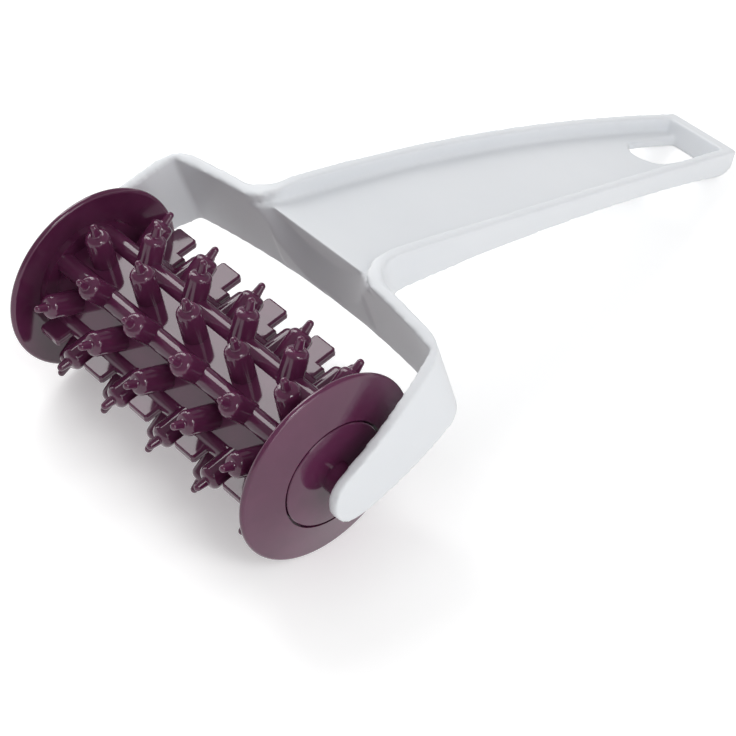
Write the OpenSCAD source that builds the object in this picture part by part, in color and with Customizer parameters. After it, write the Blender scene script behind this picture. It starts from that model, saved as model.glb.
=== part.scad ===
// Dough docker: a spiked roller that turns freely between the arms of a moulded fork, whose
// handle is an open channel. It lies as it does on a worktop, on the rims of the roller's two
// end discs and on the handle's tail.
// X runs along the axle, Y from the roller to the tail, and Z up. The origin is on the worktop,
// below the middle of the whole tool. Sizes are in millimetres.

/* [Roller] */
// Diameter of the two end discs, which the roller rolls on
disc_d = 50; // [48:0.5:56]
// Width of the roller over the rims of its discs
roller_w = 90; // [84:1:100]
// Thickness of a disc, measured along the axle
disc_t = 1.7; // [1.4:0.1:2.2]
// How far a disc swells outwards from its rim to its hub
disc_dome = 2.3; // [1.5:0.1:3]
// Thickness of the disc's flat web under the hub cap
web_t = 2; // [1.6:0.1:2.4]
// Diameter of the hub cap let into the disc
cap_d = 28.2; // [24:0.2:30]
// How far the cap stands out of the disc
cap_rise = 0.3; // [0.2:0.1:0.8]
// Distance of the drum's six flats from the axle
flat_r = 12; // [11.8:0.1:12.4]
// Distance from the axle to the tops of the round rails along the drum's corners
rail_r = 15.4; // [15.2:0.1:15.8]
// Width of a rail
rail_w = 5.5; // [5:0.1:6]
// Radius of the drum's hollow
hollow_r = 9.8; // [9:0.1:10]

/* [Spikes] */
// Spikes in a long row; the short rows between have one less
long_row = 5; // [3:1:5]
// Distance between the spikes of a row
spike_pitch = 17.8; // [17:0.1:18.6]
// How far the tips stay inside the disc's rim
tip_inset = 0.4; // [0.3:0.1:1.5]
// Diameter of a spike's barrel where it leaves the drum's flats
barrel_d = 7.7; // [6.6:0.1:7.8]
// Diameter of the barrel below its shoulder
shoulder_d = 5.2; // [4.6:0.1:5.8]
// Length of the thin point beyond the barrel
point_l = 3.3; // [2.4:0.1:4]
// Diameter of the point where it leaves the barrel
point_d = 2.4; // [2:0.1:3]
// Diameter of the point at its rounded tip
tip_d = 1.9; // [1.4:0.1:2]

/* [Flat teeth] */
// Width of a flat tooth between the spikes on a parting edge
tooth_w = 7.2; // [6.6:0.1:7.2]
// Thickness of one half's tooth; two lie on each other
tooth_t = 1.2; // [0.8:0.1:1.4]
// How far the long teeth on one edge stay inside the disc's rim
long_inset = 0.4; // [0.3:0.1:1.5]
// How far the short teeth on the other edge stay inside it
short_inset = 5.2; // [4.4:0.1:6]
// Width of the step beside a long tooth
step_w = 2.3; // [1.6:0.1:2.4]
// Height of that step above the rails
step_h = 3.4; // [2:0.1:4.5]
// How far the teeth sit to the left of the spikes of the long rows
tooth_shift = 1.4; // [1.3:0.1:1.6]
// Turn of the parting plane as the roller lies
rest_turn = 9.7; // [0:0.1:29]

/* [Axle] */
// Diameter of the stub axles moulded on the fork's arms
stub_d = 5; // [4:0.1:6]
// Radial play of a stub in its hub
run_play = 0.06; // [0.02:0.01:0.1]
// Depth of the bore behind the face of a hub cap
hub_l = 10; // [7:0.5:12]
// Diameter of the collar round the bore, which keeps the hub cap away from the arm
collar_d = 8; // [7.4:0.1:10]
// Side play between a collar and its arm
side_play = 0.4; // [0.2:0.1:0.8]

/* [Fork] */
// Thickness of the fork's band
band_t = 3; // [2.6:0.1:3.6]
// Gap between a disc's rim and its arm, along the axle
arm_gap = 8; // [6.5:0.1:10]
// The same gap at the fork's back corner
corner_gap = 2.3; // [2:0.1:5]
// Radius of the arms' outward bow
arm_bow_r = 150; // [120:5:200]
// Radius of the arms' round ends
end_r = 7.2; // [6:0.1:9]
// Gap between the discs and the crossbar at its middle
bar_gap = 13; // [11.5:0.1:16]
// Radius of the crossbar's backward bow
bar_bow_r = 260; // [220:5:400]
// Lean of the crossbar, forwards at its top
bar_lean = 16.5; // [12:0.5:20]
// Height of the crossbar's bottom edge below the axle
bar_low = 2.4; // [0:0.1:4]
// Slope of the arms' top edge
arm_rise = 24; // [20:0.5:26]
// Slope of the arms' bottom edge
arm_under = 7.5; // [4:0.5:9]
// Radius of the fork's outer back corners
corner_r = 10; // [6:0.5:14]

/* [Handle] */
// Distance from the axle to the tip of the tail
handle_reach = 179; // [160:1:200]
// Width of the handle next to the fork
handle_w = 40; // [34:0.5:44]
// Width of the handle at its tail
tail_w = 23.8; // [20:0.2:28]
// Where the handle starts to narrow, from the axle
taper_from = 60; // [50:1:70]
// Thickness of the channel's side walls
wall_t = 2.9; // [2.4:0.1:3.4]
// Thickness of the wall across the tail
end_t = 4.8; // [3.6:0.1:6]
// Lean of the wall across the tail, forwards at its foot
end_lean = 20; // [10:1:24]
// Height of the rim above the axle just behind the crossbar
rim_front = 23.3; // [21:0.1:25]
// Height of the rim above the axle halfway along
rim_mid = 4.3; // [2:0.1:7]
// Height of the rim at the tail above the worktop
rim_tail = 5.2; // [4.8:0.1:8]
// Radius of the crest where the fork's top turns down to the handle
crest_r = 25; // [15:1:35]
// Depth of the whole handle next to the fork
depth_front = 11.6; // [10:0.1:13]
// Depth of the whole handle halfway along
depth_mid = 6.8; // [6:0.1:9]
// Depth of the channel
channel_h = 4.5; // [3.5:0.1:5]
// Radius of the fillets between crossbar and handle
neck_r = 8; // [4:0.5:10]

/* [Channel mouth] */
// Distance of the floor's front lip ahead of the crossbar's middle
lip_ahead = 3; // [2:0.1:4]
// Height of the lip above the axle
lip_z = 20.5; // [19:0.1:21.5]
// Lean of the face below the lip
lip_lean = 24; // [18:1:30]
// Radius of the hollow scooped out below the lip
scoop_r = 40; // [34:1:60]
// Depth of that hollow behind the crossbar's middle
scoop_back = 0.7; // [0.3:0.1:1]

/* [Hanging hole] */
// Width of the hole
hole_w = 12.4; // [10:0.2:14]
// Length of the hole, from its round end to its straight end at the foot of the tail's wall
hole_l = 25; // [18:0.5:28]

/* [Hidden] */

plum = [0.3, 0.14, 0.24];
white = [0.92, 0.93, 0.94];
$fn = 64;
past = 1; // how far a cutting solid runs past what it cuts
tall = 120; // higher than the tool
wide = 200; // wider than the tool
rows = 12; // rows of spikes round the roller, long and short ones in turn
row_turn = 360 / rows;

// Roller
disc_r = disc_d / 2;
rim_x = roller_w / 2;
drum_end = rim_x - disc_t;
seam_gap = 0.1; // gap round a cap, a spigot or a hub tube
cap_r = cap_d / 2;
seam_r = cap_r + seam_gap;
cap_x = rim_x + disc_dome + cap_rise;
seat_x = drum_end + web_t;
lap = 0.4; // how far a landing or a foot reaches past the edge that it meets
land_r = rail_r + lap;
rim_edge = 0.3; // broken edges of the rim
spigot_r = hollow_r - seam_gap;
spigot_t = 2;
spigot_l = 5;
bore_r = stub_d / 2 + run_play;
bore_end = cap_x - hub_l;
tube_t = 1.9; // wall of the bearing tube
tube_bottom = 1.5; // bottom of the bearing tube
tube_r = bore_r + tube_t;
tube_end = bore_end - tube_bottom;
tip_r = disc_r - tip_inset;
shoulder_r = tip_r - point_l;
foot_r = hollow_r + lap; // spikes and teeth start inside the drum's wall
peg_r = 0.7;
peg_l = 1.4;
peg_x = 26.5;
peg_y = (hollow_r + rail_r) / 2; // halfway through the drum's wall at a rail
peg_room = 0.2; // a peg ends short of the bottom of its hole
shoulder_step = 0.2; // small slope between a round shoulder and its point
tooth_soft = 0.6; // cut corners of a tooth
rail_strips = 15; // round a rail; odd, so that no edge of theirs runs through the spikes' middles

// Fork, in a plan that leans with the crossbar, its Y square to the crossbar's lean
arm_x = rim_x + arm_gap;
corner_x = rim_x + corner_gap;
bar_y = disc_r + bar_gap;
bar_c = [0, bar_y - bar_bow_r];
corner_y = bar_c.y + sqrt(bar_bow_r ^ 2 - corner_x ^ 2);
arm_c = arc_centre([arm_x, 0], [corner_x, corner_y], arm_bow_r);
arm_out_r = arm_bow_r + band_t;
bar_out_r = bar_bow_r + band_t;
corner_c = circles_meet(arm_c, arm_out_r - corner_r, bar_c, bar_out_r - corner_r);
collar_x = arm_x - side_play;
stub_room = 0.8; // a stub ends short of the bottom of its bore
stub_edge = 0.5;
stub_end = bore_end + stub_room;

// Handle
half_w = handle_w / 2;
half_tail = tail_w / 2;
taper_l = handle_reach - taper_from;
taper_r = (taper_l ^ 2 + (half_w - half_tail) ^ 2) / (2 * (half_w - half_tail));
front_y = bar_y + 6; // where the rim and the depth are measured behind the crossbar
mid_y = (front_y + handle_reach) / 2;
table_z = -disc_r;
rim_arc = arc_through([front_y, rim_front], [mid_y, rim_mid], [handle_reach, table_z + rim_tail]);
flat_l = 7; // length of the flat that the tail rests on
under_arc = arc_through([front_y, rim_front - depth_front], [mid_y, rim_mid - depth_mid],
                        [handle_reach - flat_l, table_z]);
lip_y = bar_y - lip_ahead;
floor_end = handle_reach - end_t;
floor_arc = arc_through([lip_y, lip_z], [mid_y, rim_mid - channel_h],
                        on_arc(rim_arc, floor_end) - [0, channel_h]);
mouth_x = half_w - wall_t;
rise_n = [-sin(arm_rise), cos(arm_rise)];
crest_c = crest_centre();
scoop_c = [0, bar_y + scoop_back - scoop_r];
mid_shift = (handle_reach - disc_r) / 2;
flare_slope = 17; // sideways slope of the floor where the channel's mouth widens

function unit(v) = v / norm(v);
function heading(v) = atan2(v.y, v.x);
function other_side(p) = [-p.x, p.y];
function ray(turn) = [cos(turn), sin(turn)];
// Centre of the circle of radius r through p and q, on the left of the way from p to q
function arc_centre(p, q, r) =
    (p + q) / 2 + sqrt(r ^ 2 - (norm(q - p) / 2) ^ 2) * unit([p.y - q.y, q.x - p.x]);
// The upper meeting point of two circles
function circles_meet(c1, r1, c2, r2) =
    let (d = norm(c2 - c1), u = unit(c2 - c1), a = (r1 ^ 2 - r2 ^ 2 + d ^ 2) / (2 * d))
    c1 + a * u + sqrt(r1 ^ 2 - a ^ 2) * [-u.y, u.x];
// Centre and radius of the circle through three points: [x, y, r]
function arc_through(p, q, s) =
    let (a = q - p, b = s - p, k = 2 * (a.x * b.y - a.y * b.x),
         x = (b.y * a * a - a.y * b * b) / k, y = (a.x * b * b - b.x * a * a) / k)
    [p.x + x, p.y + y, norm([x, y])];
function centre(arc) = [arc.x, arc.y];
// The point at distance x on the upper side of a circle [x, y, r]
function on_arc(arc, x) = [x, arc.y + sqrt(arc.z ^ 2 - (x - arc.x) ^ 2)];
// Centre of the crest, which touches the arms' top edge and the rim
function crest_centre() =
    let (start = (end_r - crest_r) * rise_n, d = [rise_n.y, -rise_n.x],
         away = start - centre(rim_arc), along = away * d, r = rim_arc.z - crest_r)
    start + (sqrt(along ^ 2 - away * away + r ^ 2) - along) * d;
// Points round c from p to just before q, the short way
function arc_points(c, p, q, steps) =
    let (r = norm(p - c), a = heading(p - c), b = heading(q - c) - a,
         turn = b > 180 ? b - 360 : b < -180 ? b + 360 : b)
    [for (i = [0:steps - 1]) c + r * [cos(a + turn * i / steps), sin(a + turn * i / steps)]];

// What rounding takes off a corner: c is the round's centre, and u and v point to its two ends
module corner_waste(c, r, u, v) {
    over = 1.15; // reaches a little past the corner, whose sides may be bowed
    polygon(concat([c + over * r * (u + v) / (1 + u * v)], arc_points(c, c + r * v, c + r * u, 10),
                   [c + r * u]));
}

// A flat shape in the plan that leans with the crossbar, as a tall solid
module leaning() {
    rotate([bar_lean, 0, 0])
        linear_extrude(tall, center = true)
            children();
}

// A flat side view, its X along the tool and its Y up, as a wide solid
module side_solid() {
    rotate([90, 0, 90])
        linear_extrude(wide, center = true)
            children();
}

module both_sides() {
    children();
    mirror([1, 0, 0])
        children();
}

// Side view of everything below the arms' top edges, the crest and the rim
module below_top() {
    rim_start = crest_c + crest_r * unit(crest_c - centre(rim_arc));
    rim_end = on_arc(rim_arc, handle_reach + past);
    ahead = end_r * rise_n - 2 * end_r * [rise_n.y, -rise_n.x];
    polygon(concat([ahead], arc_points(crest_c, crest_c + crest_r * rise_n, rim_start, 8),
                   arc_points(centre(rim_arc), rim_start, rim_end, 24),
                   [rim_end, [rim_end.x, table_z - past], [ahead.x, table_z - past]]));
}

// Side view of the arms and the crossbar, open at the top
module band_side() {
    end_top = end_r * rise_n;
    end_low = end_r * [sin(arm_under), -cos(arm_under)];
    flat_y = (end_r / cos(arm_under) - bar_low) / tan(arm_under);
    polygon(concat(arc_points([0, 0], end_top, end_low, 16),
                   [end_low, [flat_y, -bar_low], [tall, -bar_low], [tall, tall], end_top + tall * rise_n]));
}

// Side view of the handle, open at the top and cut flat where its tail rests
module handle_side() {
    rest = [handle_reach - flat_l, table_z];
    top = rim_front + 2 * past + crest_r;
    polygon(concat([[lip_y, top], [handle_reach + 2 * past, top], [handle_reach + 2 * past, table_z]],
                   arc_points(centre(under_arc), rest, on_arc(under_arc, lip_y), 20),
                   [on_arc(under_arc, lip_y)]));
}

// Side view of everything above the channel's floor
module above_floor() {
    start = on_arc(floor_arc, bar_y - 2 * neck_r);
    end = on_arc(floor_arc, handle_reach + past);
    top = rim_front + 2 * past + crest_r;
    polygon(concat([[start.x, top]], arc_points(centre(floor_arc), start, end, 24), [end, [end.x, top]]));
}

// Plan of the band: two bowed arms and the bowed crossbar, with round outer back corners
module band_plan() {
    tip_y = -1.5 * end_r; // past the arms' round ends, which the side view cuts
    reach = tip_y - arm_c.y;
    out_end = [arm_c.x + sqrt(arm_out_r ^ 2 - reach ^ 2), tip_y];
    in_end = [arm_c.x + sqrt(arm_bow_r ^ 2 - reach ^ 2), tip_y];
    in_corner = [corner_x, corner_y];
    arm_side = corner_c + corner_r * unit(corner_c - arm_c);
    bar_side = corner_c + corner_r * unit(corner_c - bar_c);
    right = concat(arc_points(arm_c, out_end, arm_side, 8), arc_points(corner_c, arm_side, bar_side, 8));
    left = concat(arc_points(other_side(corner_c), other_side(bar_side), other_side(arm_side), 8),
                  arc_points(other_side(arm_c), other_side(arm_side), other_side(out_end), 8));
    inside = concat(arc_points(other_side(arm_c), other_side(in_end), other_side(in_corner), 8),
                    arc_points(bar_c, other_side(in_corner), in_corner, 16),
                    arc_points(arm_c, in_corner, in_end, 8));
    polygon(concat(right, arc_points(bar_c, bar_side, other_side(bar_side), 14), left,
                   [other_side(out_end)], inside, [in_end]));
}

// Plan of the handle, drawn in by inset on each side
module handle_plan(inset, from, to) {
    c = [half_w - taper_r, taper_from];
    end = [c.x + sqrt((taper_r - inset) ^ 2 - (to - taper_from) ^ 2), to];
    side = concat([[half_w - inset, from]], arc_points(c, [half_w - inset, taper_from], end, 16), [end]);
    polygon(concat(side, [for (i = [len(side) - 1:-1:0]) other_side(side[i])]));
}

// Everything behind the leaning plane of the tail's wall, from a given distance
module behind_tail(y) {
    translate([-tail_w, y, table_z + rim_tail])
        rotate([-end_lean, 0, 0])
            translate([0, 0, -tall / 2])
                cube([2 * tail_w, tall, tall]);
}

// Fillet between the crossbar's back and the side of the handle
module neck_fillet() {
    c = [half_w + neck_r, bar_c.y + sqrt((bar_out_r + neck_r) ^ 2 - (half_w + neck_r) ^ 2)];
    foot = bar_c + bar_out_r * unit(c - bar_c);
    polygon(concat([[half_w - past, foot.y - past], [half_w - past, c.y]],
                   arc_points(c, [half_w, c.y], foot, 8), [foot, [foot.x, foot.y - past]]));
}

// The channel inside the handle, open to the front
module channel() {
    difference() {
        intersection() {
            linear_extrude(2 * wide, center = true)
                handle_plan(wall_t, bar_y - 2 * neck_r, handle_reach + past);
            side_solid()
                above_floor();
        }
        behind_tail(floor_end);
    }
}

// Rounding of the channel's mouth, above a floor that falls away to the side
module mouth_flare() {
    c = [mouth_x + neck_r, bar_c.y + sqrt((bar_bow_r + neck_r) ^ 2 - (mouth_x + neck_r) ^ 2)];
    intersection() {
        leaning()
            corner_waste(c, neck_r, [-1, 0], unit(bar_c - c));
        translate([mouth_x - past, 0, lip_z])
            rotate([0, flare_slope, 0])
                cube([4 * neck_r, tall, tall]);
    }
}

// The hollow in the crossbar below the lip
module scoop() {
    intersection() {
        translate(concat(scoop_c, [0]))
            cylinder(r = scoop_r, h = lip_z + past, $fn = 360);
        translate([-mouth_x - neck_r, lip_y, lip_z])
            rotate([lip_lean, 0, 0])
                translate([0, -tall, -tall / 2])
                    cube([2 * (mouth_x + neck_r), tall, tall]);
    }
}

// Wall behind the hollow, up to the handle's underside
module scoop_wall() {
    intersection() {
        translate(concat(scoop_c, [0]))
            cylinder(r = scoop_r + band_t, h = rim_front - depth_front + past, $fn = 360);
        leaning()
            translate([-mouth_x, bar_y - past])
                square([2 * mouth_x, tall]);
    }
}

// The stub axle on the +X arm
module stub() {
    translate([stub_end, 0, 0])
        rotate([0, 90, 0]) {
            cylinder(r1 = stub_d / 2 - stub_edge, r2 = stub_d / 2, h = stub_edge);
            translate([0, 0, stub_edge])
                cylinder(d = stub_d, h = arm_x + band_t / 2 - stub_end - stub_edge);
        }
}

module hanging_hole() {
    translate([0, floor_end, table_z + rim_tail])
        rotate([-end_lean, 0, 0])
            linear_extrude(tall, center = true) {
                translate([0, hole_w / 2 - hole_l])
                    circle(d = hole_w);
                translate([-hole_w / 2, hole_w / 2 - hole_l])
                    square([hole_w, hole_l - hole_w / 2]);
            }
}

// The band and the handle before anything is cut out of them
module fork_blank() {
    intersection() {
        union() {
            intersection() {
                leaning()
                    band_plan();
                side_solid()
                    band_side();
            }
            intersection() {
                union() {
                    linear_extrude(2 * wide, center = true)
                        handle_plan(0, bar_y + band_t / 2, handle_reach + past);
                    both_sides()
                        leaning()
                            neck_fillet();
                }
                side_solid()
                    handle_side();
            }
            scoop_wall();
        }
        side_solid()
            below_top();
    }
}

module fork_handle() {
    color(white)
        placed() {
            difference() {
                fork_blank();
                behind_tail(handle_reach);
                channel();
                both_sides()
                    mouth_flare();
                scoop();
                hanging_hole();
            }
            both_sides()
                stub();
        }
}

// Puts what is drawn round the axle on the worktop
module placed() {
    translate([0, -mid_shift, disc_r])
        children();
}

// A spike along +Y, a tapered barrel with a round shoulder and a thin point. With a turn of 180 it
// is the half of it that stands above the parting plane.
module spike(turn) {
    round_r = shoulder_d / 2 - point_d / 2 - shoulder_step;
    round_c = [shoulder_d / 2 - round_r, shoulder_r - round_r];
    tip_c = [0, tip_r - tip_d / 2];
    foot_d = barrel_d + (barrel_d - shoulder_d) * (flat_r - foot_r) / (round_c.y - flat_r);
    rotate([-90, 0, 0])
        rotate([0, 0, 180])
            rotate_extrude(angle = turn, convexity = 4)
                polygon(concat([[0, foot_r], [foot_d / 2, foot_r]],
                               arc_points(round_c, round_c + [round_r, 0], round_c + [0, round_r], 4),
                               [round_c + [0, round_r], [point_d / 2, shoulder_r + shoulder_step]],
                               arc_points(tip_c, tip_c + [tip_d / 2, 0], tip_c + [0, tip_d / 2], 4),
                               [[0, tip_r]]));
}

// One row of spikes, outwards along +Y
module spike_row(count, turn) {
    for (i = [0:count - 1])
        translate([(i - (count - 1) / 2) * spike_pitch, 0, 0])
            spike(turn);
}

// The flat teeth of one half along one parting edge, outwards along +Y
module teeth(top_r, foot) {
    left = -tooth_w / 2;
    right = tooth_w / 2;
    for (i = [0:long_row - 1])
        translate([(i - (long_row - 1) / 2) * spike_pitch - tooth_shift, 0, 0])
            linear_extrude(tooth_t)
                polygon(concat([[left, foot_r], [left, top_r - tooth_soft], [left + tooth_soft, top_r],
                                [right - tooth_soft, top_r], [right, top_r - tooth_soft]], foot));
}

// Cross-section of half the drum, with flats between the round rails on its corners
module half_section() {
    round_r = rail_w / 2;
    rail_c = rail_r - round_r;
    side = row_turn + acos((flat_r - rail_c * cos(row_turn)) / round_r); // where a rail meets a flat
    crest = [rail_c + round_r * cos(side / rail_strips), 0]; // middle of a rail's top strip
    polygon(concat([crest],
                   [for (corner = [0:3], i = [0:rail_strips])
                       let (at = 2 * row_turn * corner, turn = side * (2 * i / rail_strips - 1))
                       if ((corner > 0 || turn > 0) && (corner < 3 || turn < 0))
                           rail_c * ray(at) + round_r * ray(at + turn)],
                   [-crest]));
}

// The pegs that locate the halves, or the holes for them
module pegs(r, from, to) {
    for (side = [-1, 1], edge = [-1, 1])
        translate([side * peg_x, edge * peg_y, from])
            cylinder(r = r, h = to - from, $fn = 24);
}

// One half of the roller, its parting plane level and its rows turned up from +Y. The halves mirror
// each other, but one has the pegs and the other the holes.
module half_roller(pegged) {
    right = tooth_w / 2;
    step_r = rail_r + step_h;
    color(plum)
        difference() {
            union() {
                rotate([90, 0, 90])
                    linear_extrude(2 * drum_end, center = true)
                        half_section();
                for (i = [1:rows / 2 - 1])
                    rotate([i * row_turn, 0, 0])
                        spike_row(i % 2 == 1 ? long_row : long_row - 1, 360);
                for (edge = [0, 1])
                    mirror([0, edge, 0])
                        spike_row(long_row - 1, 180);
                teeth(disc_r - long_inset,
                      [[right, step_r], [right + step_w, step_r], [right + step_w, foot_r]]);
                mirror([0, 1, 0])
                    teeth(disc_r - short_inset, [[right, foot_r]]);
                if (pegged)
                    pegs(peg_r, -peg_l, peg_l);
            }
            rotate([0, 90, 0])
                cylinder(r = hollow_r, h = roller_w, center = true);
            if (!pegged)
                pegs(peg_r + seam_gap, -past, peg_l + peg_room);
        }
}

module roller_half_upper() {
    placed()
        rotate([rest_turn, 0, 0])
            half_roller(true);
}

module roller_half_lower() {
    placed()
        rotate([rest_turn, 0, 0])
            mirror([0, 0, 1])
                half_roller(false);
}

// Distance along the axle of the disc's outer face at radius r
function dome_x(r) = rim_x + disc_dome * (disc_r - r) / (disc_r - seam_r);

// The disc on the +X end, with the spigot that holds the two halves together
module end_disc() {
    hole_r = tube_r + seam_gap;
    color(plum)
        rotate([0, 90, 0])
            rotate([0, 0, 90])
                rotate_extrude($fn = 128, convexity = 6)
                    polygon([[hole_r, seat_x], [hole_r, drum_end],
                             [spigot_r - spigot_t, drum_end], [spigot_r - spigot_t, drum_end - spigot_l],
                             [spigot_r - rim_edge, drum_end - spigot_l],
                             [spigot_r, drum_end - spigot_l + rim_edge], [spigot_r, drum_end],
                             [land_r, drum_end], [land_r, dome_x(land_r) - disc_t],
                             [disc_r - rim_edge, drum_end], [disc_r, drum_end + rim_edge],
                             [disc_r, rim_x - rim_edge], [disc_r - rim_edge, rim_x],
                             [seam_r, rim_x + disc_dome], [seam_r, seat_x]]);
}

// The cap on the +X end, whose blind tube is the bearing of the stub axle
module hub_cap() {
    edge = 0.4;
    collar_r = collar_d / 2;
    color(plum)
        rotate([0, 90, 0])
            rotate_extrude($fn = 128, convexity = 6)
                polygon([[0, tube_end], [tube_r - edge, tube_end], [tube_r, tube_end + edge],
                         [tube_r, seat_x], [cap_r, seat_x], [cap_r, cap_x - edge],
                         [cap_r - edge, cap_x], [collar_r, cap_x], [collar_r, collar_x - edge],
                         [collar_r - edge, collar_x], [bore_r, collar_x], [bore_r, bore_end],
                         [0, bore_end]]);
}

module end_disc_left() {
    placed()
        mirror([1, 0, 0])
            end_disc();
}

module end_disc_right() {
    placed()
        end_disc();
}

module hub_cap_left() {
    placed()
        mirror([1, 0, 0])
            hub_cap();
}

module hub_cap_right() {
    placed()
        hub_cap();
}

fork_handle();
roller_half_upper();
roller_half_lower();
end_disc_left();
end_disc_right();
hub_cap_left();
hub_cap_right();
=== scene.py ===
import math

import bmesh
import bpy
from mathutils import Matrix, Vector


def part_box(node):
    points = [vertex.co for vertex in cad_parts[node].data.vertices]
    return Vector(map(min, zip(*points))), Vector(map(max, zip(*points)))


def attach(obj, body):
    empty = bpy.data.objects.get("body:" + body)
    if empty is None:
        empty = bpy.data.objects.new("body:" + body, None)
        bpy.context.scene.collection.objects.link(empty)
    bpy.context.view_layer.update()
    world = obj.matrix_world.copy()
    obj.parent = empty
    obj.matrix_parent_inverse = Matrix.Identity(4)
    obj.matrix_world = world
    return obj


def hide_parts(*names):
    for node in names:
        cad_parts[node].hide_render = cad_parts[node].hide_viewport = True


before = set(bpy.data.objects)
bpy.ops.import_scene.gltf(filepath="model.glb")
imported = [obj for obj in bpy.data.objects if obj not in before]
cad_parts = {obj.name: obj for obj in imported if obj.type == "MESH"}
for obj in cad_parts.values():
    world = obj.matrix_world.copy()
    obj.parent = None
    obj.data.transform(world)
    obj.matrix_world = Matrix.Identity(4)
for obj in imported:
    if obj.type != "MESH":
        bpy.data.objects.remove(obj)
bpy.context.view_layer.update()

mm = 0.001
scene = bpy.context.scene


def hexColour(text):
    channels = [int(text[i:i + 2], 16) / 255 for i in (1, 3, 5)]
    return [c / 12.92 if c <= 0.04045 else ((c + 0.055) / 1.055) ** 2.4 for c in channels] + [1.0]


def addNode(tree, kind, settings=None, links=None):
    # a setting's name is one of the node's sockets or else one of its properties
    node = tree.nodes.new(kind)
    for name, value in (settings or {}).items():
        if isinstance(name, int) or name in node.inputs:
            node.inputs[name].default_value = value
        else:
            setattr(node, name, value)
    for name, source in (links or {}).items():
        tree.links.new(source, node.inputs[name])
    return node


def newMaterial(name):
    material = bpy.data.materials.new(name)
    material.use_nodes = True
    material.node_tree.nodes.clear()
    return material, material.node_tree


def perMetre(size):
    # scale of a noise whose features are that many millimetres across
    return 1 / (size * mm)


def addObject(name, data):
    piece = bpy.data.objects.new(name, data)
    scene.collection.objects.link(piece)
    return piece


# The camera stands where the discs' rims and seams and the fork's paired points put it.
view = {
    "location": (0.31025, -0.29482, 0.37798),
    "aim": (0.01782, -0.04107, 0.015),
    "roll": -0.53,  # degrees
    "lens": 106.16,
    "sensor": 36,
}


def makeCamera():
    data = bpy.data.cameras.new("photoCamera")
    data.lens = view["lens"]
    data.sensor_width = view["sensor"]
    camera = addObject("photoCamera", data)
    place = Vector(view["location"])
    turn = (Vector(view["aim"]) - place).to_track_quat("-Z", "Y").to_matrix().to_4x4()
    roll = Matrix.Rotation(math.radians(view["roll"]), 4, "Z")
    camera.matrix_world = Matrix.Translation(place) @ turn @ roll
    scene.camera = camera


print("camera")
makeCamera()


# A soft lamp high on the left, a smaller one high on the right and two wide ones low at the sides.
# The sky is even, but reflections see a white backdrop below a dimmer ceiling.
studio = {
    "skyLow": 0.44,
    "skyHigh": 0.5,
    "skyFrom": 0.2,  # how far up the sky starts to change from low to high, where 1 is overhead
    "skyDimming": 0.4,  # how much darker the ceiling is in reflections
    "backdropFade": (0.1, 0.3),  # how far up the white backdrop starts and stops to fade
    "floorSpan": 6.0,
    "floorColour": "#fafafa",
    "floorGlow": 0.29,  # added for the camera alone, which turns the floor white away from shadows
    "floorShine": 1.0,  # what glossy surfaces see of it
    "lamps": {
        "highLeft": {"place": (-0.66, 0.15, 0.73), "size": 0.52, "power": 3.4},
        "highRight": {"place": (0.66, -0.15, 0.73), "size": 0.3, "power": 1.8},
        "lowLeft": {"place": (-1.0, 0.0, 0.35), "size": 0.7, "power": 2.7},
        "lowRight": {"place": (1.0, 0.0, 0.35), "size": 0.7, "power": 2.5},
    },
}


def seenRays(tree):
    # the second is 1 in reflections and through clear walls
    rays = addNode(tree, "ShaderNodeLightPath")
    shine = addNode(tree, "ShaderNodeMath", {"operation": "MAXIMUM"},
                    {0: rays.outputs["Is Glossy Ray"], 1: rays.outputs["Is Transmission Ray"]})
    return rays, shine.outputs[0]


def makeWorld():
    world = bpy.data.worlds.new("studioSky")
    world.use_nodes = True
    tree = world.node_tree
    tree.nodes.clear()
    place = addNode(tree, "ShaderNodeTexCoord").outputs["Generated"]
    height = addNode(tree, "ShaderNodeSeparateXYZ", links={0: place}).outputs["Z"]
    ceiling = addNode(tree, "ShaderNodeMapRange",
                      {"From Min": studio["skyFrom"], "From Max": 1.0,
                       "To Min": studio["skyLow"], "To Max": studio["skyHigh"]},
                      {"Value": height})
    fadeFrom, fadeTo = studio["backdropFade"]
    backdrop = addNode(tree, "ShaderNodeMapRange",
                       {"From Min": fadeFrom, "From Max": fadeTo, "To Min": 1.0, "To Max": 0.0},
                       {"Value": height})
    rays, shine = seenRays(tree)
    dimming = addNode(tree, "ShaderNodeMath",
                      {"operation": "MULTIPLY_ADD", 1: -studio["skyDimming"], 2: 1.0}, {0: shine})
    level = addNode(tree, "ShaderNodeMath", {"operation": "MULTIPLY"},
                    {0: ceiling.outputs["Result"], 1: dimming.outputs[0]})
    mirrored = addNode(tree, "ShaderNodeMath", {"operation": "MULTIPLY"},
                       {0: shine, 1: backdrop.outputs["Result"]})
    share = addNode(tree, "ShaderNodeMath", {"operation": "MAXIMUM"},
                    {0: rays.outputs["Is Camera Ray"], 1: mirrored.outputs[0]})
    strength = addNode(tree, "ShaderNodeMix", {"data_type": "FLOAT", 3: 1.0},
                       {0: share.outputs[0], 2: level.outputs[0]})
    sky = addNode(tree, "ShaderNodeBackground", {"Color": (1, 1, 1, 1)},
                  {"Strength": strength.outputs[0]})
    addNode(tree, "ShaderNodeOutputWorld", links={"Surface": sky.outputs[0]})
    scene.world = world


def makeLamp(name, lamp):
    data = bpy.data.lights.new(name, "AREA")
    data.shape = "SQUARE"
    data.size = lamp["size"]
    data.energy = lamp["power"]
    place = Vector(lamp["place"])
    turn = (-place).to_track_quat("-Z", "Y").to_matrix().to_4x4()
    addObject(name, data).matrix_world = Matrix.Translation(place) @ turn


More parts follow.
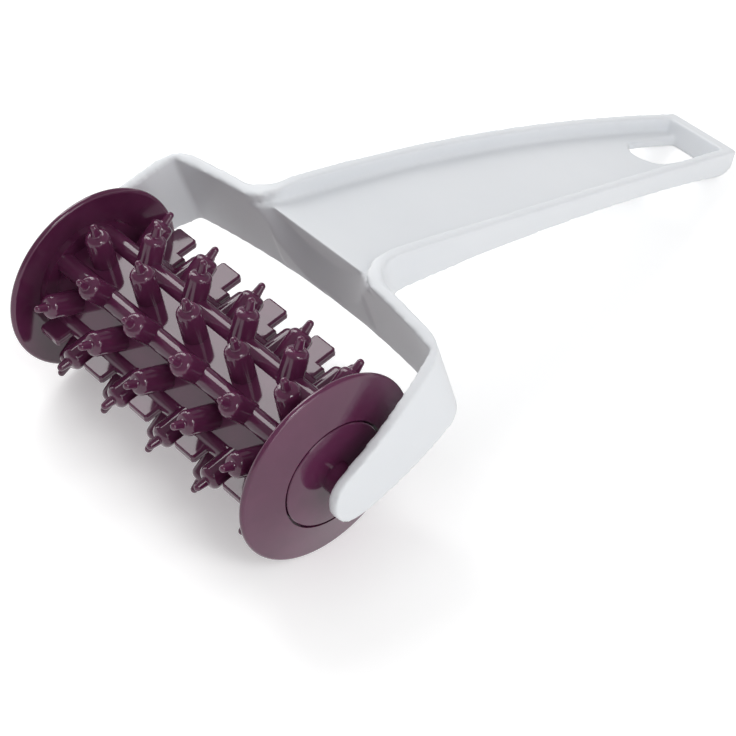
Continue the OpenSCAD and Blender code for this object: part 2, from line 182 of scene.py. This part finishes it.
def makeFloor():
    mesh = bpy.data.meshes.new("paleFloor")
    bm = bmesh.new()
    bmesh.ops.create_grid(bm, x_segments=1, y_segments=1, size=studio["floorSpan"] / 2)
    bm.to_mesh(mesh)
    bm.free()
    floor = addObject("paleFloor", mesh)
    material, tree = newMaterial("paleFloor")
    rays, shine = seenRays(tree)
    paint = addNode(tree, "ShaderNodeBsdfDiffuse", {"Color": hexColour(studio["floorColour"])})
    lift = addNode(tree, "ShaderNodeMath", {"operation": "MULTIPLY", 1: studio["floorGlow"]},
                   {0: rays.outputs["Is Camera Ray"]})
    glow = addNode(tree, "ShaderNodeEmission", {"Color": (1, 1, 1, 1)},
                   {"Strength": lift.outputs[0]})
    lit = addNode(tree, "ShaderNodeAddShader", links={0: paint.outputs[0], 1: glow.outputs[0]})
    white = addNode(tree, "ShaderNodeEmission",
                    {"Color": (1, 1, 1, 1), "Strength": studio["floorShine"]})
    mixed = addNode(tree, "ShaderNodeMixShader",
                    links={0: shine, 1: lit.outputs[0], 2: white.outputs[0]})
    addNode(tree, "ShaderNodeOutputMaterial", links={"Surface": mixed.outputs[0]})
    mesh.materials.append(material)


scene.view_settings.view_transform = "Standard"
print("studio")
makeWorld()
for lampName, lamp in studio["lamps"].items():
    makeLamp(lampName, lamp)
makeFloor()


# Polypropylene moulded in a lightly blasted tool: a soft sheen without sharp reflections, and a
# little light gets into it at the edges. Sizes in both plastics are in millimetres.
whitePlastic = {
    "pale": "#e9ebee",
    "shade": "#e0e3e7",
    "flow": 35,  # across the faint clouds that the melt leaves
    "grain": 0.35,  # of the blasted tool; the real grain is finer and wouldn't show
    "grainDepth": 0.006,
    "bump": 0.5,
    "roughLow": 0.36,
    "roughHigh": 0.46,
    "ior": 1.49,
    "inside": 0.12,  # share of the light that gets in
    "insideReach": 1.5,
    "insideTint": (1.0, 0.95, 0.9),
}


def makeWhitePlastic():
    material, tree = newMaterial("polypropyleneBlastMoulded")
    place = addNode(tree, "ShaderNodeTexCoord").outputs["Object"]
    flow = addNode(tree, "ShaderNodeTexNoise",
                   {"Scale": perMetre(whitePlastic["flow"]), "Detail": 3.0}, {"Vector": place})
    grain = addNode(tree, "ShaderNodeTexNoise",
                    {"Scale": perMetre(whitePlastic["grain"]), "Detail": 2.0}, {"Vector": place})
    colour = addNode(tree, "ShaderNodeMix",
                     {"data_type": "RGBA", 6: hexColour(whitePlastic["shade"]),
                      7: hexColour(whitePlastic["pale"])},
                     {0: flow.outputs["Fac"]})
    rough = addNode(tree, "ShaderNodeMapRange",
                    {"To Min": whitePlastic["roughLow"], "To Max": whitePlastic["roughHigh"]},
                    {"Value": grain.outputs["Fac"]})
    bump = addNode(tree, "ShaderNodeBump",
                   {"Strength": whitePlastic["bump"],
                    "Distance": whitePlastic["grainDepth"] * mm},
                   {"Height": grain.outputs["Fac"]})
    surface = addNode(tree, "ShaderNodeBsdfPrincipled",
                      {"IOR": whitePlastic["ior"],
                       "Subsurface Weight": whitePlastic["inside"],
                       "Subsurface Scale": whitePlastic["insideReach"] * mm,
                       "Subsurface Radius": whitePlastic["insideTint"]},
                      {"Base Color": colour.outputs[2], "Roughness": rough.outputs["Result"],
                       "Normal": bump.outputs["Normal"]})
    addNode(tree, "ShaderNodeOutputMaterial", links={"Surface": surface.outputs[0]})
    return material


# Tinted polystyrene moulded in a polished tool: a sharp clear reflection over a deep plum that
# turns reddish where the walls are thin.
plumPlastic = {
    "deep": "#471a36",
    "light": "#683052",
    "flow": 14,
    "ripple": 3.0,  # faint waves of the moulded surface that bend its reflections
    "rippleDepth": 0.012,
    "bump": 0.5,
    "roughLow": 0.06,
    "roughHigh": 0.11,
    "ior": 1.59,
    "inside": 0.15,
    "insideReach": 2.0,
    "insideTint": (1.0, 0.2, 0.45),
}


def makePlumPlastic():
    material, tree = newMaterial("tintedPolystyrenePolishMoulded")
    place = addNode(tree, "ShaderNodeTexCoord").outputs["Object"]
    flow = addNode(tree, "ShaderNodeTexNoise",
                   {"Scale": perMetre(plumPlastic["flow"]), "Detail": 3.0}, {"Vector": place})
    ripple = addNode(tree, "ShaderNodeTexNoise",
                     {"Scale": perMetre(plumPlastic["ripple"]), "Detail": 1.0}, {"Vector": place})
    colour = addNode(tree, "ShaderNodeMix",
                     {"data_type": "RGBA", 6: hexColour(plumPlastic["deep"]),
                      7: hexColour(plumPlastic["light"])},
                     {0: flow.outputs["Fac"]})
    rough = addNode(tree, "ShaderNodeMapRange",
                    {"To Min": plumPlastic["roughLow"], "To Max": plumPlastic["roughHigh"]},
                    {"Value": flow.outputs["Fac"]})
    bump = addNode(tree, "ShaderNodeBump",
                   {"Strength": plumPlastic["bump"], "Distance": plumPlastic["rippleDepth"] * mm},
                   {"Height": ripple.outputs["Fac"]})
    surface = addNode(tree, "ShaderNodeBsdfPrincipled",
                      {"IOR": plumPlastic["ior"],
                       "Subsurface Weight": plumPlastic["inside"],
                       "Subsurface Scale": plumPlastic["insideReach"] * mm,
                       "Subsurface Radius": plumPlastic["insideTint"]},
                      {"Base Color": colour.outputs[2], "Roughness": rough.outputs["Result"],
                       "Normal": bump.outputs["Normal"]})
    addNode(tree, "ShaderNodeOutputMaterial", links={"Surface": surface.outputs[0]})
    return material


print("materials")
plum = makePlumPlastic()
white = makeWhitePlastic()


def roundPoints(centre, radius, first, last, count):
    # an arc from one angle to another in that many steps
    angles = [first + (last - first) * i / count for i in range(count + 1)]
    return [(centre[0] + radius * math.cos(a), centre[1] + radius * math.sin(a)) for a in angles]


def raiseOutline(bm, outline, move):
    # a closed solid between an outline and its copy moved along, in millimetres
    face = bm.faces.new([bm.verts.new((x * mm, y * mm, z * mm)) for x, y, z in outline])
    raised = bmesh.ops.extrude_face_region(bm, geom=[face])["geom"]
    bmesh.ops.translate(bm, verts=[v for v in raised if isinstance(v, bmesh.types.BMVert)],
                        vec=[step * mm for step in move])


def finishMesh(bm, name, sharp=20):
    # doubles go first, and edges turned by more than that many degrees stay sharp
    bmesh.ops.remove_doubles(bm, verts=bm.verts, dist=0.001 * mm)
    bmesh.ops.recalc_face_normals(bm, faces=bm.faces)
    for face in bm.faces:
        face.smooth = True
    for edge in bm.edges:
        edge.smooth = len(edge.link_faces) < 2 or edge.calc_face_angle(0) < math.radians(sharp)
    mesh = bpy.data.meshes.new(name)
    bm.to_mesh(mesh)
    bm.free()
    return mesh


# Discs and caps are turned about the axle. The rim is round, and the seam round a cap is a narrow
# groove that stays dark. Each pair is a radius and a distance along the axle in millimetres.
ends = {
    "rim": 25.0,
    "rimRound": 0.85,
    "rimMiddle": 44.3,
    "rimSteps": 10,
    "disc": [(14.4, 47.26), (14.4, 45.3), (4.56, 45.3), (4.56, 43.3), (7.7, 43.3), (7.7, 38.3),
             (9.4, 38.3), (9.7, 38.6), (9.7, 43.3), (15.8, 43.3), (15.8, 45.26)],
    "cap": [(0, 36.1), (4.06, 36.1), (4.46, 36.5), (4.46, 45.3), (13.85, 45.3), (13.85, 47.2),
            (13.65, 47.4), (11.5, 47.76), (9.0, 48.02), (6.5, 48.19), (4.0, 48.27)],
    "collar": 4.0,
    "collarSoft": 0.3,
    "bore": 2.56,
    "boreEnd": 37.6,
    "steps": 160,
}


def turnedPiece(name, outline, node, side):
    bm = bmesh.new()
    verts = [bm.verts.new((x * mm, r * mm, 0)) for r, x in outline]
    edges = [bm.edges.new(pair) for pair in zip(verts, verts[1:])]
    if outline[0][0] > 0:
        edges.append(bm.edges.new((verts[-1], verts[0])))
    bmesh.ops.spin(bm, geom=verts + edges, cent=(0, 0, 0), axis=(1, 0, 0), dvec=(0, 0, 0),
                   angle=2 * math.pi, steps=ends["steps"], use_merge=True)
    low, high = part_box(node)
    place = Matrix.Translation((0, (low[1] + high[1]) / 2, (low[2] + high[2]) / 2))
    bmesh.ops.transform(bm, matrix=place @ Matrix.Scale(side, 4, (1, 0, 0)), verts=bm.verts)
    piece = addObject(name, finishMesh(bm, name))
    piece.data.materials.append(plum)
    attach(piece, "roller")
    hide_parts(node)
    print(name, "faces", len(piece.data.polygons))


def makeEnds():
    rim = roundPoints((ends["rim"] - ends["rimRound"], ends["rimMiddle"]), ends["rimRound"],
                      -math.pi / 2, math.pi / 2, ends["rimSteps"])
    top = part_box("hub_cap_right")[1][0] / mm
    bore = [(ends["collar"], top - ends["collarSoft"]), (ends["collar"] - ends["collarSoft"], top),
            (ends["bore"], top), (ends["bore"], ends["boreEnd"]), (0, ends["boreEnd"])]
    for side, word in ((-1, "left"), (1, "right")):
        turnedPiece(word + "RollingDisc", ends["disc"] + rim, "end_disc_" + word, side)
        turnedPiece(word + "HubCap", ends["cap"] + bore, "hub_cap_" + word, side)


print("roller ends")
makeEnds()


# The roller's halves are moulded with their spikes and flat teeth, and no edge of them is quite
# sharp. Sizes are in millimetres, with the axle along X and the parting plane level. Heights are
# distances from the axle.
half = {
    "drumEnd": 43.3,
    "flat": 12.0,
    "rail": 15.4,
    "railRound": 2.75,
    "railSteps": 20,
    "hollow": 9.8,
    "hollowSteps": 32,
    "sunk": 1.0,  # how far into the hollow's wall spikes and teeth start
    "pitch": 17.8,
    "longRow": 5,
    "rowTurn": 30,  # degrees from row to row
    "tip": 24.6,
    "pointRound": 0.95,
    "pointFoot": 1.2,
    "pointNeck": [(0.12, 0.03), (0.0, 0.25)],  # out from the point's foot and up from the shoulder
    "shoulder": 21.3,
    "shoulderWide": 3.08,
    "shoulderLevel": 0.2,  # the flat ring left round the point's foot
    "barrelWide": 3.2,
    "spikeSteps": 32,
    "toothWide": 7.2,
    "toothThick": 1.2,
    "toothShift": 1.4,
    "toothCorner": 0.6,
    "toothSoft": 0.5,
    "partingSoft": 0.12,
    "toothSharp": 12,  # degrees, low enough to keep the lamps' reflections flat on its faces
    "longTooth": 24.6,
    "shortTooth": 19.8,
    "stepTop": 18.8,
    "stepWide": 2.3,
    "turn": 9.7,  # degrees, as the roller lies
}


def spikeMesh(name, whole):
    # a tapered barrel with a round shoulder and a thin point, turned about Y
    wide, top, foot = half["shoulderWide"], half["shoulder"], half["pointFoot"]
    soft = wide - foot - half["shoulderLevel"]
    start = half["hollow"] + half["sunk"]
    barrel = [(0, start), (half["barrelWide"], start)]
    shoulder = roundPoints((wide - soft, top - soft), soft, 0, math.pi / 2, 8)
    neck = [(foot + out, top + up) for out, up in half["pointNeck"]]
    point = roundPoints((0, half["tip"] - half["pointRound"]), half["pointRound"],
                        0, math.pi / 2, 6)
    bm = bmesh.new()
    verts = [bm.verts.new((x * mm, y * mm, 0)) for x, y in barrel + shoulder + neck + point]
    edges = [bm.edges.new(pair) for pair in zip(verts, verts[1:])]
    share = 1 if whole else 0.5
    bmesh.ops.spin(bm, geom=verts + edges, cent=(0, 0, 0), axis=(0, 1, 0), dvec=(0, 0, 0),
                   angle=-2 * math.pi * share, steps=int(half["spikeSteps"] * share),
                   use_merge=whole)
    if not whole:
        bmesh.ops.remove_doubles(bm, verts=bm.verts, dist=0.001 * mm)
        rim = [edge for edge in bm.edges if len(edge.link_faces) == 1]
        bmesh.ops.holes_fill(bm, edges=rim, sides=0)
    return finishMesh(bm, name)


def toothMesh(name, top, stepped):
    wide, corner = half["toothWide"] / 2, half["toothCorner"]
    foot = half["hollow"] + half["sunk"]
    outline = [(-wide, foot), (-wide, top - corner), (-wide + corner, top),
               (wide - corner, top), (wide, top - corner)]
    if stepped:
        side = wide + half["stepWide"]
        outline += [(wide, half["stepTop"]), (side, half["stepTop"]), (side, foot)]
    else:
        outline.append((wide, foot))
    bm = bmesh.new()
    raiseOutline(bm, [(x, y, 0) for x, y in outline], (0, 0, half["toothThick"]))
    for height, soft in ((half["toothThick"], half["toothSoft"]), (0, half["partingSoft"])):
        edges = [edge for edge in bm.edges
                 if all(abs(v.co.z - height * mm) < 0.01 * mm for v in edge.verts)]
        bmesh.ops.bevel(bm, geom=edges, offset=soft * mm, offset_type="OFFSET", segments=3,
                        profile=0.5, affect="EDGES", material=-1)
    return finishMesh(bm, name, half["toothSharp"])


def drumMesh(name):
    # half of the six-sided drum, with a round rail on each corner
    middle = half["rail"] - half["railRound"]
    slant = math.radians(half["rowTurn"])
    side = slant + math.acos((half["flat"] - middle * math.cos(slant)) / half["railRound"])
    outline = []
    for corner in range(4):
        at = 2 * slant * corner
        first = 0 if corner == 0 else -side
        last = 0 if corner == 3 else side
        outline += roundPoints((middle * math.cos(at), middle * math.sin(at)), half["railRound"],
                               at + first, at + last, half["railSteps"])
    outline += roundPoints((0, 0), half["hollow"], math.pi, 0, half["hollowSteps"])
    bm = bmesh.new()
    raiseOutline(bm, [(-half["drumEnd"], y, z) for y, z in outline], (2 * half["drumEnd"], 0, 0))
    return finishMesh(bm, name)


def addCopy(bm, mesh, place):
    part = mesh.copy()
    part.transform(place)
    bm.from_mesh(part)
    bpy.data.meshes.remove(part)


def rowPlaces(count, shift=0):
    return [((i - (count - 1) / 2) * half["pitch"] - shift) * mm for i in range(count)]


def makeHalf(name, node, flip):
    # five rows of whole spikes, and on the parting plane two rows of split ones between teeth
    parts = {
        "drum": drumMesh("drumHalf"),
        "spike": spikeMesh("wholeSpike", True),
        "halfSpike": spikeMesh("halfSpike", False),
        "longTooth": toothMesh("longTooth", half["longTooth"], True),
        "shortTooth": toothMesh("shortTooth", half["shortTooth"], False),
    }
    bm = bmesh.new()
    addCopy(bm, parts["drum"], Matrix.Identity(4))
    for row in range(1, 6):
        turn = Matrix.Rotation(math.radians(half["rowTurn"] * row), 4, "X")
        for x in rowPlaces(half["longRow"] if row % 2 else half["longRow"] - 1):
            addCopy(bm, parts["spike"], turn @ Matrix.Translation((x, 0, 0)))
    for mirrored, tooth in ((1, "longTooth"), (-1, "shortTooth")):
        across = Matrix.Scale(mirrored, 4, (0, 1, 0))
        for x in rowPlaces(half["longRow"] - 1):
            addCopy(bm, parts["halfSpike"], across @ Matrix.Translation((x, 0, 0)))
        for x in rowPlaces(half["longRow"], half["toothShift"]):
            addCopy(bm, parts[tooth], across @ Matrix.Translation((x, 0, 0)))
    low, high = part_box("end_disc_left")
    axle = (Vector(low) + Vector(high)) / 2
    lie = Matrix.Rotation(math.radians(half["turn"]), 4, "X")
    place = Matrix.Translation((0, axle.y, axle.z)) @ lie @ Matrix.Scale(flip, 4, (0, 0, 1))
    bmesh.ops.transform(bm, matrix=place, verts=bm.verts)
    bmesh.ops.recalc_face_normals(bm, faces=bm.faces)
    mesh = bpy.data.meshes.new(name)
    bm.to_mesh(mesh)
    bm.free()
    mesh.materials.append(plum)
    piece = addObject(name, mesh)
    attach(piece, "roller")
    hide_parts(node)
    print(name, "faces", len(mesh.polygons))


print("roller halves")
makeHalf("spikedHalfUpper", "roller_half_upper", 1)
makeHalf("spikedHalfLower", "roller_half_lower", -1)


# The fork is one moulding whose edges are all a little round, which the solid leaves sharp. The
# solid also has a slot between the leaning crossbar and the start of the channel, where the real
# floor and walls run up to the lip, so three fillings close it before the surface is made anew.
# Sizes are in millimetres.
fork = {
    "voxel": 0.54,  # keeps the piece under 200,000 triangles
    "softRounds": 7,  # rounds of smoothing, which leave about a millimetre of edge radius
    "softShare": 0.5,
    "floorHalf": 17.3,
    # Y and Z round the side of the floor's filling
    "floorSide": [(-41.2, 45.32), (-37.2, 44.38), (-37.2, 37.4), (-38.1, 37.4)],
    "wallFoot": 37.4,
    # X, Y and the height of the top, round the end of the wall
    "wallPlan": [(17.1, -36.5, 48.4), (17.15, -38.0, 48.4), (17.5, -39.4, 48.25),
                 (18.2, -40.6, 48.1), (19.2, -41.4, 48.0), (20.3, -41.9, 47.9),
                 (22.5, -41.2, 48.0), (21.2, -40.0, 48.2), (20.4, -38.6, 48.35),
                 (20.0, -36.5, 48.4)],
}


def addPrism(bm, first, second):
    # a closed solid between two outlines with as many corners each
    faces = [bm.faces.new([bm.verts.new(Vector(corner) * mm) for corner in outline])
             for outline in (first, second)]
    edges = [edge for face in faces for edge in face.edges]
    faces += bmesh.ops.bridge_loops(bm, edges=edges)["faces"]
    bmesh.ops.recalc_face_normals(bm, faces=faces)


def makeFork():
    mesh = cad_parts["fork_handle"].data.copy()
    mesh.name = "forkMoulding"
    bm = bmesh.new()
    bm.from_mesh(mesh)
    bmesh.ops.remove_doubles(bm, verts=bm.verts, dist=0.001 * mm)
    addPrism(bm, [(-fork["floorHalf"], y, z) for y, z in fork["floorSide"]],
             [(fork["floorHalf"], y, z) for y, z in fork["floorSide"]])
    for side in (-1, 1):
        addPrism(bm, [(side * x, y, fork["wallFoot"]) for x, y, top in fork["wallPlan"]],
                 [(side * x, y, top) for x, y, top in fork["wallPlan"]])
    bm.to_mesh(mesh)
    bm.free()
    piece = addObject("forkMoulding", mesh)
    remesh = piece.modifiers.new("evenFaces", "REMESH")
    remesh.mode = "VOXEL"
    remesh.voxel_size = fork["voxel"] * mm
    soften = piece.modifiers.new("softEdges", "SMOOTH")
    soften.iterations = fork["softRounds"]
    soften.factor = fork["softShare"]
    shaped = piece.evaluated_get(bpy.context.evaluated_depsgraph_get())
    built = bpy.data.meshes.new_from_object(shaped)
    piece.modifiers.clear()
    piece.data = built
    built.shade_smooth()
    built.materials.clear()
    built.materials.append(white)
    print("fork faces", len(built.polygons))
    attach(piece, "handle")
    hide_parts("fork_handle")


print("fork")
makeFork()

print("done")
